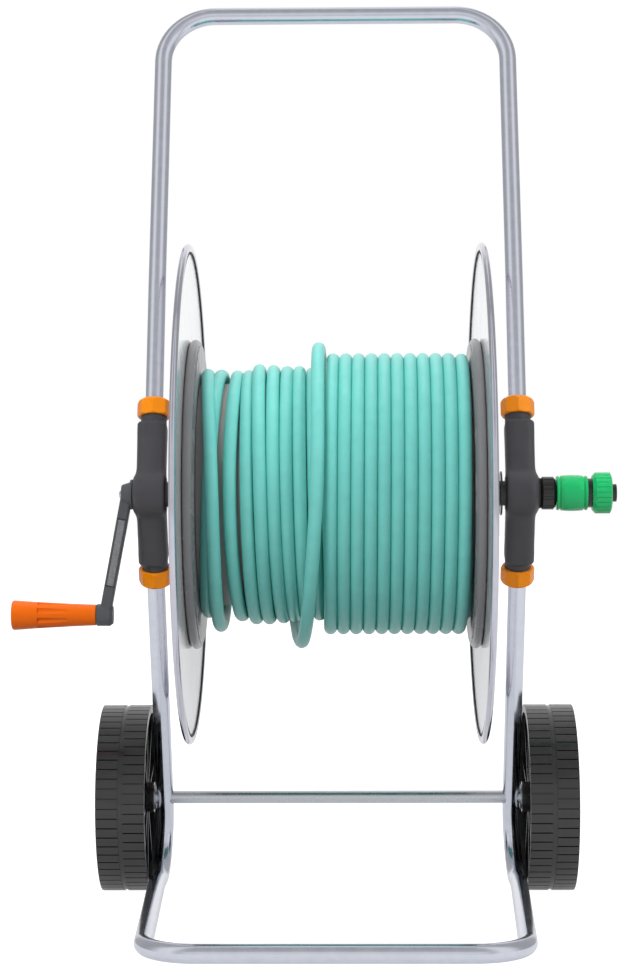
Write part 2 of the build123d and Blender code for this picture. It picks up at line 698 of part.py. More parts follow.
def grip():
    """The flared grip, hollow at its outer end for the clip that keeps it on the spindle."""
    shoulder = GRIP_IN - GRIP_BORE
    bore = SPINDLE_R + SPINDLE_PLAY
    third = GRIP_LENGTH / 3
    grow = GRIP_END_R - GRIP_R
    body = turned(
        (GRIP_IN, bore), (GRIP_IN, GRIP_R - 0.4), (GRIP_IN - 0.6, GRIP_R),
        (GRIP_IN - third, GRIP_R + 0.25 * grow), (GRIP_IN - 2 * third, GRIP_R + 0.58 * grow),
        (GRIP_OUT + 1.6, GRIP_END_R), (GRIP_OUT, GRIP_END_R - 1.2), (GRIP_OUT, GRIP_HOLLOW_R),
        (shoulder, GRIP_HOLLOW_R), (shoulder, bore),
    )
    flute_out = GRIP_OUT + GRIP_FLUTE_START
    flute = rod(flute_out, flute_out + GRIP_FLUTE_LENGTH, GRIP_FLUTE_R)
    flutes = round_about(GRIP_FLUTES, GRIP_FLUTE_FLOOR_R + GRIP_FLUTE_R, flute, start=22.5)
    return body - flutes


def grip_cap():
    inside = GRIP_OUT + GRIP_CAP_T
    return turned(
        (inside, 0), (inside, GRIP_HOLLOW_R), (GRIP_OUT + 0.4, GRIP_HOLLOW_R),
        (GRIP_OUT, GRIP_HOLLOW_R - 0.8), (GRIP_OUT, 0),
    )


# Water inlet


def inlet_nut():
    """The nut on the water shaft's end that keeps the inlet nipple in and lets it turn."""
    wall = INLET_NUT_OUT - INLET_NUT_WALL
    bore = INLET_THREAD_R + SHAFT_PLAY
    hole = NIPPLE_R + RING_PLAY
    nut = turned(
        (INLET_NUT_IN, bore), (wall, bore), (wall, hole), (INLET_NUT_OUT, hole),
        (INLET_NUT_OUT, INLET_NUT_R - 3.0), (INLET_NUT_OUT - 2.4, INLET_NUT_R),
        (INLET_NUT_IN + 2.4, INLET_NUT_R), (INLET_NUT_IN, INLET_NUT_R - 2.0),
    )
    groove = rod(INLET_NUT_IN + 3, INLET_NUT_OUT - 3, 2.4)
    return nut - round_about(10, INLET_NUT_R + 1.4, groove)


def inlet_washer():
    x0 = BRACKET_OUT + FREE_GAP
    return ring(x0, x0 + INLET_WASHER_T, INLET_THREAD_R + SHAFT_PLAY, INLET_WASHER_R)


def nipple_grooves():
    """Where the O-rings sit along the nipple: two in the shaft's seat and one in the connector."""
    first, second, outer = O_RING_PLACES
    return [SHAFT_END - first, SHAFT_END - second, SLEEVE_IN + outer]


def o_ring_middle():
    return NIPPLE_R + RING_PLAY - O_RING_PLAY - O_RING_R


def inlet_nipple():
    """The tube that joins the turning shaft to the connector, sealed at both ends."""
    body = ring(NIPPLE_END, SLEEVE_IN + NIPPLE_OUTSIDE, NIPPLE_WATER_R, NIPPLE_R)
    body += ring(NIPPLE_WALL - NIPPLE_COLLAR_T, NIPPLE_WALL, NIPPLE_WATER_R, NIPPLE_COLLAR_R)
    reach = O_RING_R + O_RING_PLAY
    for x in nipple_grooves():
        body -= ring(x - reach, x + reach, o_ring_middle() - reach, NIPPLE_R + PAST)
    return body


def o_rings():
    section = Rot(0, 90, 0) * Torus(o_ring_middle(), O_RING_R)
    return [REEL * Pos(x, 0, 0) * section for x in nipple_grooves()]


def connector_core():
    """The connector's black body, with the bore for the nipple and the thread for the hose nut."""
    front = SLEEVE_IN + SLEEVE_LIP + SLEEVE_TRAVEL + FREE_GAP
    seat = NIPPLE_R + RING_PLAY
    seat_end = SLEEVE_IN + NIPPLE_OUTSIDE + FREE_GAP
    tail = COLLET_OUT_X - COLLET_LENGTH - FREE_GAP
    neck = HOSE_NUT_IN - FREE_GAP
    return turned(
        (front, seat), (seat_end, seat), (seat_end, NIPPLE_WATER_R), (tail, NIPPLE_WATER_R),
        (tail, CORE_THREAD_R), (neck, CORE_THREAD_R), (neck, CORE_R), (front, CORE_R),
    )


def connector_sleeve():
    """The green release sleeve that slides back along the core."""
    bore = CORE_R + SLEEVE_PLAY
    mouth = CORE_R - 3.0
    lip = SLEEVE_IN + SLEEVE_LIP
    return turned(
        (SLEEVE_IN, mouth), (lip, mouth), (lip, bore), (SLEEVE_OUT, bore),
        (SLEEVE_OUT, SLEEVE_END_R - 0.6), (SLEEVE_OUT - 0.8, SLEEVE_END_R),
        (SLEEVE_OUT - 2.4, SLEEVE_END_R), (SLEEVE_OUT - 2.9, SLEEVE_END_R + 0.4),
        (SLEEVE_IN + 0.55 * SLEEVE_LENGTH, SLEEVE_R), (SLEEVE_IN + 0.3 * SLEEVE_LENGTH, SLEEVE_R),
        (SLEEVE_IN + 3.2, SLEEVE_END_R + 0.3), (SLEEVE_IN + 2.6, SLEEVE_END_R - 0.1),
        (SLEEVE_IN + 0.8, SLEEVE_END_R - 0.2), (SLEEVE_IN, SLEEVE_END_R - 1.0),
    )


def hose_nut():
    """The green ribbed nut that clamps the supply hose."""
    wall = HOSE_NUT_OUT - HOSE_NUT_WALL
    bore = CORE_THREAD_R + SHAFT_PLAY
    hole = COLLET_R + NUT_PLAY
    nut = turned(
        (HOSE_NUT_IN, bore), (wall, bore), (wall, hole), (HOSE_NUT_OUT, hole),
        (HOSE_NUT_OUT, HOSE_NUT_R - 3.2), (HOSE_NUT_OUT - 1.6, HOSE_NUT_R),
        (HOSE_NUT_IN + 3.2, HOSE_NUT_R), (HOSE_NUT_IN, HOSE_NUT_R - 3.4),
    )
    groove = rod(HOSE_NUT_IN + 4, HOSE_NUT_OUT + PAST, 1.4)
    return nut - round_about(HOSE_NUT_RIBS, HOSE_NUT_R + 0.7, groove)


def hose_collet():
    """The black slit ring that grips the supply hose inside the hose nut."""
    x0 = COLLET_OUT_X - COLLET_LENGTH
    body = ring(x0, COLLET_OUT_X, SUPPLY_HOSE_R, COLLET_R)
    slit = Box(
        COLLET_SLIT_LENGTH, 1.0, 3 * COLLET_R, align=(Align.MIN, Align.CENTER, Align.CENTER)
    )
    return body - Pos(x0, 0, 0) * slit


# Hose


def cord_path(points):
    """Straight runs joined by arcs as large as the runs allow."""
    places = [Vector(*point) for point in points]
    runs = [b - a for a, b in zip(places, places[1:])]
    radii = []
    for before, after in zip(runs, runs[1:]):
        half_turn = math.radians(before.get_angle(after)) / 2
        radii.append(0.45 * min(before.length, after.length) / math.tan(half_turn))
    print("bend radii", [round(radius) for radius in radii])
    return FilletPolyline(*places, radius=radii)


def cord_tube(points, radius):
    return along(cord_path(points), radius)


def hose_coil():
    """The outer shape of the wound hose, layer by layer, round the barrel."""
    corners = [(-DRUM_IN + LAY_GAP, BARREL_R + LAY_GAP)]
    x = -DRUM_IN + LAY_GAP
    for end, radius in COIL_STEPS:
        corners += [(x, radius), (end, radius)]
        x = end
    corners.append((x, BARREL_R + LAY_GAP))
    return turned(*corners)


def last_turn():
    """The raised half turn over the reel's front, which climbs out of the layers behind the top."""
    step = math.radians(30)
    radii = [*LAST_TURN_RISE] + 6 * [LAST_TURN_R]
    points = []
    for i, radius in enumerate(radii, start=-len(LAST_TURN_RISE)):
        angle = i * step
        x = LAST_TURN_TOP + (LAST_TURN_BOTTOM - LAST_TURN_TOP) * max(angle, 0) / math.pi
        points.append((x, -radius * math.sin(angle), radius * math.cos(angle)))
    return points


def tail_place():
    return Pos(*HOSE_TAIL[-1]) * Rot(0, -90, 0)


def tail_fitting():
    """The connector on the hose's free end, with a socket for a spray gun or nozzle."""
    x0 = TAIL_NUT_LENGTH
    x1 = TAIL_NUT_LENGTH + TAIL_FITTING_LENGTH
    body = turned(
        (x0, 0), (x0, TAIL_FITTING_R - 1.6), (x0 + 2, TAIL_FITTING_R - 0.4),
        ((x0 + x1) / 2, TAIL_FITTING_R), (x1 - 2, TAIL_FITTING_R - 0.4), (x1, TAIL_FITTING_R - 1.8),
        (x1, 0),
    )
    body -= rod(x1 - TAIL_SOCKET_DEPTH, x1 + PAST, TAIL_SOCKET_R)
    return tail_place() * (body - rod(x0 - PAST, x1, NIPPLE_WATER_R))


def tail_nut():
    nut = turned(
        (0, NIPPLE_WATER_R), (0, TAIL_NUT_R - 2.4), (2.4, TAIL_NUT_R),
        (TAIL_NUT_LENGTH - 1, TAIL_NUT_R), (TAIL_NUT_LENGTH, TAIL_NUT_R - 1),
        (TAIL_NUT_LENGTH, NIPPLE_WATER_R),
    )
    groove = rod(-PAST, TAIL_NUT_LENGTH - 3, 1.3)
    return tail_place() * (nut - round_about(18, TAIL_NUT_R + 0.7, groove))


# Assembly: each piece at its place on the cart


def cart():
    right_wheel = AXLE * wheel()
    right_cap = AXLE * hub_cap()
    right_bracket = bracket()
    right_flange = REEL * flange()
    right_disc = REEL * drum_disc()
    ends = (UP, DOWN)
    return {
        "handle_tube": handle_tube(),
        "base_tube": base_tube(),
        "axle_tube": AXLE * axle_tube(),
        "right_bracket": right_bracket,
        "left_bracket": mirrored(right_bracket),
        "ring_nuts": both_sides([ring_nut(end) for end in ends]),
        "clamp_collars": both_sides([clamp_collar(end) for end in ends]),
        "bearing_bushes": both_sides([REEL * bearing_bush()]),
        "axle_washers": both_sides([AXLE * axle_washer()]),
        "axle_clips": both_sides([AXLE * axle_clip()]),
        "right_wheel": right_wheel,
        "left_wheel": mirrored(right_wheel),
        "right_hub_cap": right_cap,
        "left_hub_cap": mirrored(right_cap),
        "right_flange": right_flange,
        "left_flange": mirrored(right_flange),
        "right_drum_disc": right_disc,
        "left_drum_disc": mirrored(right_disc),
        "drum_barrel": REEL * barrel(),
        "flange_screws": both_sides([REEL * one for one in flange_screws()]),
        "hub_screws": both_sides([REEL * one for one in hub_screws()]),
        "thrust_washers": both_sides([REEL * thrust_washer()]),
        "crank_shaft": REEL * crank_shaft(),
        "water_shaft": REEL * water_shaft(),
        "lead_nut": REEL * lead_nut(),
        "crank_arm": REEL * crank_arm(),
        "crank_screw": REEL * crank_screw(),
        "grip_spindle": REEL * Pos(0, 0, -CRANK_LENGTH) * grip_spindle(),
        "spindle_clip": REEL * Pos(0, 0, -CRANK_LENGTH) * spindle_clip(),
        "inlet_nut": REEL * inlet_nut(),
        "inlet_washer": REEL * inlet_washer(),
        "hose_coil": REEL * hose_coil(),
        "hose_lead": REEL * cord_tube(HOSE_LEAD, HOSE_D / 2),
        "hose_tail": REEL * cord_tube(last_turn() + HOSE_TAIL, HOSE_D / 2),
        "tail_fitting": REEL * tail_fitting(),
        "tail_nut": REEL * tail_nut(),
        "grip": REEL * Pos(0, 0, -CRANK_LENGTH) * grip(),
        "grip_cap": REEL * Pos(0, 0, -CRANK_LENGTH) * grip_cap(),
        "inlet_nipple": REEL * inlet_nipple(),
        "o_rings": Compound(children=o_rings()),
        "connector_core": REEL * connector_core(),
        "hose_nut": REEL * hose_nut(),
        "hose_collet": REEL * hose_collet(),
        "connector_sleeve": REEL * connector_sleeve(),
    }


def origin_shift():
    """Carries the middle of the cart's box, on the floor, to the origin."""
    middle_x = (GRIP_OUT + COLLET_OUT_X) / 2
    back = max(WHEEL_R, FLANGE_R - REEL_FORWARD)
    middle_y = (back - FOOT_REACH - TUBE_R) / 2
    return Pos(-middle_x, -middle_y, 0)


def print_places():
    shift = origin_shift()
    places = {
        "axle": AXLE,
        "reel axis": REEL,
        "crank grip": REEL * Pos((GRIP_IN + GRIP_OUT) / 2, 0, -CRANK_LENGTH),
        "supply socket": REEL * Pos(COLLET_OUT_X, 0, 0),
        "tail socket": REEL * tail_place() * Pos(TAIL_NUT_LENGTH + TAIL_FITTING_LENGTH, 0, 0),
        "handle bar": Pos(0, handle_top().Y, handle_top().Z),
    }
    for name, place in places.items():
        at = (shift * place).position
        print(name, [round(value, 3) for value in at])


os.makedirs("parts", exist_ok=True)
for name, piece in cart().items():
    export_step(origin_shift() * piece, f"parts/{name}.step")
print_places()
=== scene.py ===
import json
import math

import bmesh
import bpy
from mathutils import Matrix, Vector

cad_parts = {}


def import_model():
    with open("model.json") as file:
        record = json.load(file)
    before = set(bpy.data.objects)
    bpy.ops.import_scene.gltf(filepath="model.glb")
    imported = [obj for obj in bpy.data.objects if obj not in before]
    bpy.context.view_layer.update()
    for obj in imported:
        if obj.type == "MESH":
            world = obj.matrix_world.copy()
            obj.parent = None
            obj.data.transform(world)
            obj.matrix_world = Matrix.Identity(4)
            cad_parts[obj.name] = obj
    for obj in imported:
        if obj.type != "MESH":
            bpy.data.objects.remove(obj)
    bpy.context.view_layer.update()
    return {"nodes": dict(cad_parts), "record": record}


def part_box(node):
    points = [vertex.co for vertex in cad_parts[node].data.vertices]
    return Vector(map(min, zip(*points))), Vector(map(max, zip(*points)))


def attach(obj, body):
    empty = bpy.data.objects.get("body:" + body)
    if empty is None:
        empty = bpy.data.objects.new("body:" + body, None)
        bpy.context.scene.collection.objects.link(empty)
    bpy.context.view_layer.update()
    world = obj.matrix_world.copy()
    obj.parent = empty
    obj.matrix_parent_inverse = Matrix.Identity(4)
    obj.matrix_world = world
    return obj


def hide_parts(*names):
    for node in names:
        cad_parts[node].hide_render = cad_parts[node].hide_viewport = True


# A two-wheeled garden hose reel cart, in metres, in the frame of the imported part: +Z is up, the
# floor is Z = 0, the cart's front faces -Y and its crank is on the -X side. Sizes and places of new
# pieces are in millimetres, and those of the reel's pieces start from the middle of the reel.

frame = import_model()
NODES = frame["nodes"]
MM = 0.001


def middle(node):
    low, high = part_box(node)
    return (low + high) / 2


AXLE = middle("axle_tube")
REEL = middle("drum_barrel")


def new_piece(name, data):
    """An object in the scene, with its origin at the world's."""
    piece = bpy.data.objects.new(name, data)
    bpy.context.scene.collection.objects.link(piece)
    return piece


def looking(eye, aim):
    """The place and turn of a camera or a lamp at eye that faces aim."""
    turn = (aim - eye).to_track_quat("-Z", "Y").to_matrix().to_4x4()
    return Matrix.Translation(eye) @ turn


# Camera: a long lens at the height of the reel, a little to the right of the cart's middle

LENS = 89.0
SENSOR = 36.0
EYE = Vector((AXLE.x + 19 * MM, AXLE.y - 2.544, 421.5 * MM))
AIM = Vector((AXLE.x - 24.7 * MM, AXLE.y, 428.3 * MM))
ROLL = -0.0035


def camera():
    data = bpy.data.cameras.new("camera")
    data.lens = LENS
    data.sensor_width = SENSOR
    piece = new_piece("camera", data)
    piece.matrix_world = looking(EYE, AIM) @ Matrix.Rotation(ROLL, 4, "Z")
    bpy.context.scene.camera = piece


camera()


# Materials: each is named for what the real piece is made of and how its surface came about

CLOUD_DETAIL = 3.0
CLOUD_ROUGHNESS = 0.55
GRAIN_DETAIL = 2.0
EDGE_SAMPLES = 4
# How far a moulded surface's roughness wanders to each side of its middle
GLOSS_WANDER = 0.05
PVC_IOR = 1.53


def linear(hex_colour):
    """A linear colour from an sRGB hex value."""
    parts = [int(hex_colour[i:i + 2], 16) / 255 for i in (1, 3, 5)]
    return [c / 12.92 if c <= 0.04045 else ((c + 0.055) / 1.055) ** 2.4 for c in parts] + [1.0]


def add_node(tree, kind, settings=None, links=None, **values):
    """Adds a node, sets its properties and sockets, and links its inputs."""
    made = tree.nodes.new(kind)
    for name, value in values.items():
        setattr(made, name, value)
    for socket, value in (settings or {}).items():
        made.inputs[socket].default_value = value
    for socket, source in (links or {}).items():
        tree.links.new(source, made.inputs[socket])
    return made


def new_material(name):
    made = bpy.data.materials.new(name)
    made.use_nodes = True
    tree = made.node_tree
    shader = tree.nodes["Principled BSDF"]
    place = add_node(tree, "ShaderNodeTexCoord").outputs["Object"]
    return made, tree, shader, place


def mottled(tree, shader, place, light, dark, spot_mm):
    """Gives the base colour soft clouds between two tones, of a real size."""
    noise = add_node(
        tree, "ShaderNodeTexNoise",
        {"Scale": 1000 / spot_mm, "Detail": CLOUD_DETAIL, "Roughness": CLOUD_ROUGHNESS},
        {"Vector": place},
    )
    clouds = noise.outputs["Fac"]
    tones = add_node(
        tree, "ShaderNodeMix", {6: linear(dark), 7: linear(light)}, {0: clouds}, data_type="RGBA",
    )
    tree.links.new(tones.outputs[2], shader.inputs["Base Color"])
    return clouds


def rubbed(tree, shader, clouds, low, high):
    """Lets the roughness wander between two values."""
    spread = add_node(
        tree, "ShaderNodeMapRange",
        {"From Min": 0.3, "From Max": 0.7, "To Min": low, "To Max": high}, {"Value": clouds},
    )
    tree.links.new(spread.outputs["Result"], shader.inputs["Roughness"])


def grained(tree, shader, place, grain_mm, depth_mm, edge_mm):
    """A fine moulded grain over edges that are softened by a small radius."""
    edge = add_node(
        tree, "ShaderNodeBevel", {"Radius": edge_mm * MM}, samples=EDGE_SAMPLES,
    )
    grain = add_node(
        tree, "ShaderNodeTexNoise", {"Scale": 1000 / grain_mm, "Detail": GRAIN_DETAIL},
        {"Vector": place},
    )
    relief = add_node(
        tree, "ShaderNodeBump", {"Strength": 1.0, "Distance": depth_mm * MM},
        {"Height": grain.outputs["Fac"], "Normal": edge.outputs["Normal"]},
    )
    tree.links.new(relief.outputs["Normal"], shader.inputs["Normal"])


def plastic(name, light, dark, roughness, spot_mm, grain_mm, depth_mm, edge_mm, shine=0.5):
    """An injection-moulded plastic: two close tones, wandering gloss and a mould's grain."""
    made, tree, shader, place = new_material(name)
    clouds = mottled(tree, shader, place, light, dark, spot_mm)
    rubbed(tree, shader, clouds, roughness - GLOSS_WANDER, roughness + GLOSS_WANDER)
    grained(tree, shader, place, grain_mm, depth_mm, edge_mm)
    shader.inputs["Specular IOR Level"].default_value = shine
    return made


def metal(name, light, dark, spot_mm, smooth, rough, mirror=1.0):
    """A bare or zinc-coated metal: two close tones, finely rubbed. Mirror is its metallic part."""
    made, tree, shader, place = new_material(name)
    clouds = mottled(tree, shader, place, light, dark, spot_mm)
    rubbed(tree, shader, clouds, smooth, rough)
    shader.inputs["Metallic"].default_value = mirror
    return made


def soft_pvc():
    """Extruded soft PVC hose skin: aqua, satin, slightly waxy with faint clouds from the die."""
    made, tree, shader, place = new_material("extruded_soft_pvc")
    clouds = mottled(tree, shader, place, "#78D4CB", "#6AC4BB", 16.0)
    rubbed(tree, shader, clouds, 0.30, 0.42)
    shader.inputs["IOR"].default_value = PVC_IOR
    return made


def seal_rubber():
    """Moulded nitrile rubber: dull black."""
    made, tree, shader, place = new_material("moulded_nitrile_rubber")
    clouds = mottled(tree, shader, place, "#161616", "#0D0D0D", 3.0)
    rubbed(tree, shader, clouds, 0.55, 0.7)
    return made


LOOKS = {
    # Drawn steel tube with bright zinc: a clear reflection with faint spangle clouds
    "tube_paint": metal(
        "bright_zinc_drawn_tube", "#DDE0EA", "#CBCFDB", spot_mm=9.0, smooth=0.14, rough=0.24,
    ),
    # Pressed sheet with a milky bright zinc coat: near white, over half a mirror and the rest haze
    "flange_paint": metal(
        "pressed_zinc_sheet", "#FFFDFF", "#FAF8FB", spot_mm=30.0, smooth=0.13, rough=0.19,
        mirror=0.6,
    ),
    # The flanges' rolled edge, burnished by the rollers: a clear grey mirror with fine rubbing
    "flange_edge": metal(
        "roller_burnished_zinc", "#D2D2DC", "#BEBECB", spot_mm=12.0, smooth=0.10, rough=0.18,
    ),
    # Glass-filled nylon from a spark-eroded mould: dark grey and matt, with a fine sandy grain
    "bracket_plastic": plastic(
        "moulded_glass_nylon", "#4A4A4E", "#3E3E42", roughness=0.46, spot_mm=18, grain_mm=0.9,
        depth_mm=0.05, edge_mm=1.2, shine=0.35,
    ),
    # Polished acetal nuts: strong orange with clear highlights
    "orange_plastic": plastic(
        "moulded_acetal", "#FF980A", "#F88C06", roughness=0.26, spot_mm=12, grain_mm=1.5,
        depth_mm=0.01, edge_mm=1.0, shine=0.22,
    ),
    # Satin polypropylene handle: a deeper orange and a softer highlight than the nuts
    "grip_plastic": plastic(
        "moulded_polypropylene_grip", "#F67002", "#EE6802", roughness=0.34, spot_mm=14,
        grain_mm=0.8, depth_mm=0.02, edge_mm=0.8, shine=0.2,
    ),
    # Grey nylon crank with a drier surface than the brackets
    "crank_plastic": plastic(
        "moulded_grey_nylon", "#525458", "#44474A", roughness=0.42, spot_mm=12, grain_mm=0.8,
        depth_mm=0.04, edge_mm=1.0,
    ),
    # The crank's recessed panel, left rough and paler by the eroded mould
    "crank_panel": plastic(
        "eroded_grey_nylon", "#9A9C9E", "#5C5E60", roughness=0.6, spot_mm=2.2, grain_mm=0.7,
        depth_mm=0.25, edge_mm=0.3,
    ),
    # Grey ABS discs beside the drum: satin, even
    "drum_plastic": plastic(
        "moulded_grey_abs", "#7E7E80", "#747476", roughness=0.24, spot_mm=35, grain_mm=1.0,
        depth_mm=0.02, edge_mm=0.8,
    ),
    # Grey polypropylene barrel under the hose, made paler than its own grey so the shaded gaps
    # between the turns read lighter: painted fill light
    "barrel_plastic_painted_fill": plastic(
        "grey_polypropylene_painted_fill", "#B4B0AE", "#A4A09E", roughness=0.45, spot_mm=30,
        grain_mm=1.0, depth_mm=0.02, edge_mm=0.8,
    ),
    "hose_skin": soft_pvc(),
    # Black polypropylene wheels: near black, with the sheen of a polished mould
    "wheel_plastic": plastic(
        "moulded_black_polypropylene", "#262628", "#161617", roughness=0.22, spot_mm=10,
        grain_mm=0.9, depth_mm=0.03, edge_mm=0.5, shine=0.7,
    ),
    # Black ABS threads and nuts
    "black_plastic": plastic(
        "moulded_black_abs", "#1C1C1D", "#121213", roughness=0.24, spot_mm=10, grain_mm=0.8,
        depth_mm=0.01, edge_mm=0.4,
    ),
    # Glossy green ABS quick connector
    "green_plastic": plastic(
        "moulded_green_abs", "#12C070", "#0AB464", roughness=0.22, spot_mm=12, grain_mm=0.9,
        depth_mm=0.01, edge_mm=0.6, shine=0.4,
    ),
    # Natural acetal bearing bushes: milky white, as turned
    "bush_plastic": plastic(
        "turned_natural_acetal", "#DCDCD4", "#D0D0C8", roughness=0.40, spot_mm=8, grain_mm=0.6,
        depth_mm=0.01, edge_mm=0.3,
    ),
    # Zinc-plated turned steel for the axle, washers and screws: a cool grey metal, a bit rougher
    "bright_steel": metal(
        "zinc_plated_steel", "#CDD0D5", "#BDC1C7", spot_mm=14.0, smooth=0.22, rough=0.34,
    ),
    "seal_rubber": seal_rubber(),
}
SLOT_OF = {part["node"]: part["material_slot"] for part in frame["record"]["subparts"]}
for name, piece in NODES.items():
    piece.data.materials.clear()
    piece.data.materials.append(LOOKS[SLOT_OF[name]])
# The barrel's paler grey stands in for fill light in the gaps between the hose turns: painted light
NODES["drum_barrel"].data.materials[0] = LOOKS["barrel_plastic_painted_fill"]


# Hose: one continuous cord from the lead nut in the barrel, over all its turns, to the connector

HOSE_D = 13 * MM
HOSE_LEAD = [
    (80, 0, 0),
    (30, 0, 0),
    (-20, -7.5, -20.7),
    (-62, 18.5, -50.7),
    (-94, 67, -52.3),
    (-114, 107, -15),
    (-124, 111.8, 40.7),
    (-126.5, 79.6, 88.4),
]
HOSE_TAIL = [
    (-38, 25, -145.5),
    (-42, 76, -131),
    (-50, 121, -97),
    (-62, 150, -49),
    (-62, 150, 5),
]
# The loose turns of the first layer, which slip over each other: place along the reel and radius
# at the reel's top, front, bottom and back
LOOSE_TURNS = [
    ((-127.4, 117.5), (-115.4, 130.3), (-114.5, 131.0), (-113.0, 131.5)),
    ((-112.5, 117.0), (-120.5, 117.0), (-128.0, 117.0), (-111.0, 117.0)),
    ((-95.5, 117.0), (-101.0, 118.0), (-92.5, 121.0), (-89.0, 119.0)),
    ((-85.5, 117.0), (-84.0, 120.0), (-78.6, 124.0), (-77.0, 123.6)),
    ((-75.6, 123.2), (-70.8, 123.5), (-65.6, 123.7), (-63.4, 123.0)),
    ((-61.2, 122.2), (-58.5, 122.4), (-51.6, 122.7), (-49.6, 122.0)),
    ((-47.6, 121.2), (-46.2, 121.2), (-39.7, 121.2), (-37.7, 121.2)),
    ((-35.7, 121.2), (-33.0, 121.2), (-28.0, 121.2), (-25.3, 120.5)),
]
# The tight turns that end the first layer, out to the inlet's side
TIGHT_TURNS = 12
TIGHT_RADIUS = 119.9
TIGHT_PITCH = 13.05
# The second layer, back over the tight turns: each turn is slanted between its top and its bottom
TOP_TURNS = 11
TOP_RADIUS = 133.7
TOP_START = 124.9
TOP_SLANT = 3.2
TOP_PITCH = 12.7
# The last turn lies over both layers, from the top to the bottom
LAST_TURN = [(-16.7, 145.5), (-15.5, 146.0), (-34.7, 146.5)]
TURN_POINTS = 12
FIRST_ANGLE = math.radians(-12)
HOSE_ROUNDNESS = 6
HOSE_FINENESS = 6


def quarter_turns():
    """The hose's place along the reel and its radius at each quarter turn, from the reel's top."""
    stations = [place for turn in LOOSE_TURNS for place in turn]
    start = LOOSE_TURNS[-1][0][0]
    for turn in range(1, TIGHT_TURNS + 1):
        top = start + TIGHT_PITCH * turn
        stations += [(top + TIGHT_PITCH * quarter / 4, TIGHT_RADIUS) for quarter in range(4)]
    for turn in range(TOP_TURNS):
        top = TOP_START - TOP_PITCH * turn
        bottom = top - TOP_SLANT
        behind = (bottom + top - TOP_PITCH) / 2
        stations += [(x, TOP_RADIUS) for x in (top, (top + bottom) / 2, bottom, behind)]
    return stations + LAST_TURN


def winding():
    """The control points of the turns, a little outside them because the spline cuts corners."""
    stations = quarter_turns()
    step = 2 * math.pi / TURN_POINTS
    outside = 1 / (0.75 + 0.25 * math.cos(step))
    points = []
    angle = FIRST_ANGLE
    while angle < math.pi / 2 * (len(stations) - 1):
        along = max(angle, 0) / (math.pi / 2)
        index = min(int(along), len(stations) - 2)
        share = along - index
        (x0, r0), (x1, r1) = stations[index], stations[index + 1]
        x = x0 + (x1 - x0) * share
        radius = (r0 + (r1 - r0) * share) * outside
        points.append((x, -radius * math.sin(angle), radius * math.cos(angle)))
        angle += step
    return points


def hose():
    data = bpy.data.curves.new("hose", "CURVE")
    data.dimensions = "3D"
    data.bevel_depth = HOSE_D / 2
    data.bevel_resolution = HOSE_ROUNDNESS
    data.resolution_u = HOSE_FINENESS
    data.use_fill_caps = True
    route = HOSE_LEAD + winding() + HOSE_TAIL
    spline = data.splines.new("NURBS")
    spline.points.add(len(route) - 1)
    for point, place in zip(spline.points, route):
        point.co = (*(REEL + Vector(place) * MM), 1.0)
    spline.order_u = 3
    spline.use_endpoint_u = True
    piece = new_piece("wound_hose", data)
    data.materials.append(LOOKS["hose_skin"])
    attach(piece, "reel")
    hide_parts("hose_coil", "hose_lead", "hose_tail")


hose()


# Finer forms over the plain solids

SHARP = math.radians(38)
# Steps round the big rings of the reel, round small turned pieces, and round an oval outline
RING_STEPS = 180
LATHE_STEPS = 96
OVAL_STEPS = 24


def show(name, shape, look, body, stand_for=()):
    """Makes a finished piece of a mesh whose places are already in metres."""
    bmesh.ops.remove_doubles(shape, verts=shape.verts, dist=1e-6)
    bmesh.ops.recalc_face_normals(shape, faces=shape.faces)
    mesh = bpy.data.meshes.new(name)
    shape.to_mesh(mesh)
    shape.free()
    mesh.shade_smooth()
    mesh.set_sharp_from_angle(angle=SHARP)
    mesh.materials.append(LOOKS[look])
    piece = new_piece(name, mesh)
    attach(piece, body)
    if stand_for:
        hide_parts(*stand_for)
    return piece


def settled(piece):
    """Works a piece's modifiers into its mesh."""
    graph = bpy.context.evaluated_depsgraph_get()
    mesh = bpy.data.meshes.new_from_object(piece.evaluated_get(graph))
    piece.modifiers.clear()
    piece.data = mesh
    return mesh


def copied(node):
    """A node's mesh with its loose triangles joined."""
    shape = bmesh.new()
    shape.from_mesh(NODES[node].data)
    bmesh.ops.remove_doubles(shape, verts=shape.verts, dist=1e-6)
    return shape


def lathe(shape, outline, steps):
    """A closed ring about the reel's axis, turned from its (x, radius) outline."""
    corners = [shape.verts.new((x * MM, 0, radius * MM)) for x, radius in outline]
    edges = [shape.edges.new((a, b)) for a, b in zip(corners, corners[1:] + corners[:1])]
    bmesh.ops.spin(
        shape, geom=corners + edges, cent=(0, 0, 0), axis=(1, 0, 0), angle=math.tau, steps=steps,
        use_merge=True,
    )
    bmesh.ops.translate(shape, vec=REEL, verts=shape.verts)


def oval(x, radius, half_width, half_height):
    """An oval outline for the lathe."""
    turns = [math.tau * i / OVAL_STEPS for i in range(OVAL_STEPS)]
    return [(x + half_width * math.cos(t), radius + half_height * math.sin(t)) for t in turns]


def ring(name, outline, look):
    """A large smooth ring that turns with the reel."""
    shape = bmesh.new()
    lathe(shape, outline, RING_STEPS)
    show(name, shape, look, "reel")


# New edges: the radius where the plain edge is cut off, then the new edge's place along the axis,
# its radius, its half width and its half height
DRUM_EDGE = (148.5, 138.6, 149.5, 4.7, 4.7)
FLANGE_EDGE = (240.4, 145.05, 244.4, 3.35, 4.5)
# A thin black ring in the seam where the flange's sheet runs into its rolled edge, standing for the
# seam's shadow line: painted shade.
# Its place from and to along the axis, and from and to in radius
HEM_SHADOW_LINE = (142.3, 143.6, 239.4, 241.0)
CORE_DEPTH = 80


